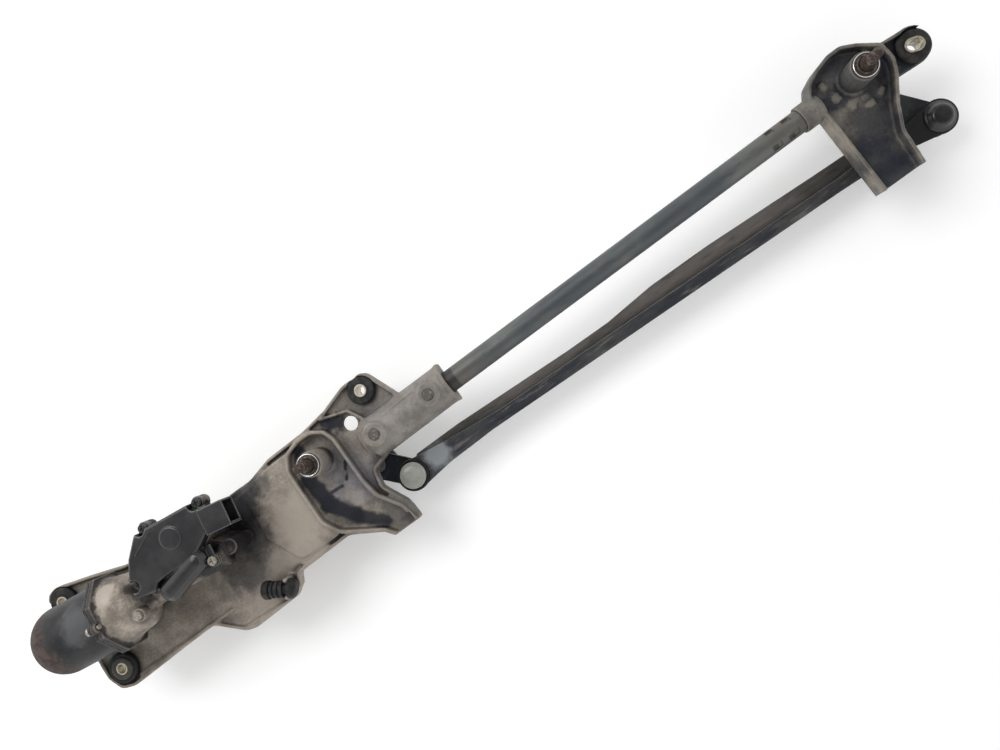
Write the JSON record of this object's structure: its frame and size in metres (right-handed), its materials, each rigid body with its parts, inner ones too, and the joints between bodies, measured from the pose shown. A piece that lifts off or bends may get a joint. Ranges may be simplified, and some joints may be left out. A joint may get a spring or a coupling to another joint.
{
  "type": "windshield wiper linkage with motor",
  "caption": "Windshield wiper frame with worm-gear motor, cast pivots, tube, link rods on ball joints and splined wiper spindles.",
  "frame": {"origin": "axis of the driver-side spindle, at the root of its thread", "axes": "+Z out along both spindles, toward the glass; +X along the frame tube, from the driver side to the passenger side"},
  "size_m": [0.9306, 0.1537, 0.1262],
  "materials": {
    "cast_grey": "sand-textured cast, oxidised",
    "tube_zinc": "satin zinc, dulled",
    "rivet_steel": "dull",
    "bush_bronze": "sintered bronze, oiled",
    "grommet_rubber": "matt black",
    "sleeve_steel": "zinc plated",
    "spindle_steel": "machined, rusted",
    "ring_chrome": "bright",
    "lever_steel": "black e-coat",
    "ball_steel": "polished, greased",
    "link_steel": "zinc, blackened",
    "cup_nylon": "natural nylon",
    "cup_nylon_black": "black nylon, greasy",
    "seal_rubber": "soft",
    "yoke_paint": "satin black",
    "magnet_ferrite": "ferrite",
    "housing_cast": "die cast, dirty",
    "cover_plastic": "black, slightly glossy",
    "screw_zinc": "zinc plated",
    "contact_tin": "tinned",
    "board_fibre": "laminate",
    "brush_plate": "phenolic",
    "brush_carbon": "copper graphite",
    "shaft_steel": "ground",
    "core_steel": "laminated",
    "copper": "copper",
    "gear_nylon": "acetal"
  },
  "bodies": {
    "frame": {"driver_casting": "cast_grey", "passenger_casting": "cast_grey", "frame_tube": "tube_zinc", "tube_rivets": "rivet_steel", "driver_bushes": "bush_bronze", "passenger_bushes": "bush_bronze", "grommet_lower": "grommet_rubber", "grommet_upper": "grommet_rubber", "grommet_centre": "grommet_rubber", "grommet_right": "grommet_rubber", "sleeve_lower": "sleeve_steel", "sleeve_upper": "sleeve_steel", "sleeve_centre": "sleeve_steel", "sleeve_right": "sleeve_steel", "locating_peg": "grommet_rubber", "peg_pin": "rivet_steel", "motor_yoke": "yoke_paint", "yoke_screws": "screw_zinc", "yoke_magnets": "magnet_ferrite", "yoke_bearing": "bush_bronze", "gear_housing": "housing_cast", "gear_cover": "cover_plastic", "cover_screws": "screw_zinc", "motor_screws": "screw_zinc", "connector_pins": "contact_tin", "circuit_board": "board_fibre", "brush_holder": "brush_plate", "brushes": "brush_carbon", "output_bush": "bush_bronze", "armature_bush": "bush_bronze"},
    "driver_pivot": {"driver_spindle": "spindle_steel", "driver_cap_ring": "ring_chrome", "driver_spacer": "sleeve_steel", "driver_lever": "lever_steel", "driver_link_ball": "ball_steel", "driver_drive_ball": "ball_steel"},
    "passenger_pivot": {"passenger_spindle": "spindle_steel", "passenger_cap_ring": "ring_chrome", "passenger_spacer": "sleeve_steel", "passenger_lever": "lever_steel", "passenger_link_ball": "ball_steel"},
    "link": {"link_rod": "link_steel", "link_socket_driver": "cup_nylon", "link_socket_passenger": "cup_nylon_black", "link_seal_driver": "seal_rubber", "link_seal_passenger": "seal_rubber"},
    "drive_link": {"drive_rod": "link_steel", "drive_socket_lever": "cup_nylon", "drive_socket_crank": "cup_nylon", "drive_seal_lever": "seal_rubber", "drive_seal_crank": "seal_rubber"},
    "crank": {"output_shaft": "shaft_steel", "worm_wheel": "gear_nylon", "crank_arm": "lever_steel", "crank_nut": "screw_zinc", "crank_ball": "ball_steel"},
    "armature": {"armature_shaft": "shaft_steel", "armature_core": "core_steel", "windings": "copper", "commutator": "copper"}
  },
  "joints": [
    {"name": "armature_spin", "type": "hinge", "parent": "frame", "child": "armature", "pos_m": [-0.22361, -0.00254, -0.014], "axis": [0.991, -0.134, 0], "range_deg": [0, 5160]},
    {"name": "crank_turn", "type": "hinge", "parent": "frame", "child": "crank", "pos_m": [-0.1319, 0.0115, 0], "axis": [0, 0, 1], "range_deg": [-86, 0]},
    {"name": "driver_wipe", "type": "hinge", "parent": "frame", "child": "driver_pivot", "pos_m": [0, 0, 0], "axis": [0, 0, 1], "range_deg": [-86, 0]},
    {"name": "passenger_wipe", "type": "hinge", "parent": "frame", "child": "passenger_pivot", "pos_m": [0.5555, -0.0108, 0], "axis": [0, 0, 1], "range_deg": [-82.58, 0]},
    {"name": "link_swing", "type": "hinge", "parent": "driver_pivot", "child": "link", "pos_m": [0.05472, -0.05972, -0.072], "axis": [0, 0, 1], "range_deg": [0, 86.95]},
    {"name": "drive_link_swing", "type": "hinge", "parent": "crank", "child": "drive_link", "pos_m": [-0.1015, -0.02168, -0.092], "axis": [0, 0, 1], "range_deg": [0, 86]}
  ],
  "couplings": [
    {"joint": "crank_turn", "follows": "armature_spin", "ratio": -0.016667},
    {"joint": "driver_wipe", "follows": "armature_spin", "ratio": -0.016667},
    {"joint": "passenger_wipe", "follows": "armature_spin", "ratio": -0.016003},
    {"joint": "link_swing", "follows": "armature_spin", "ratio": 0.01685},
    {"joint": "drive_link_swing", "follows": "armature_spin", "ratio": 0.016667}
  ]
}
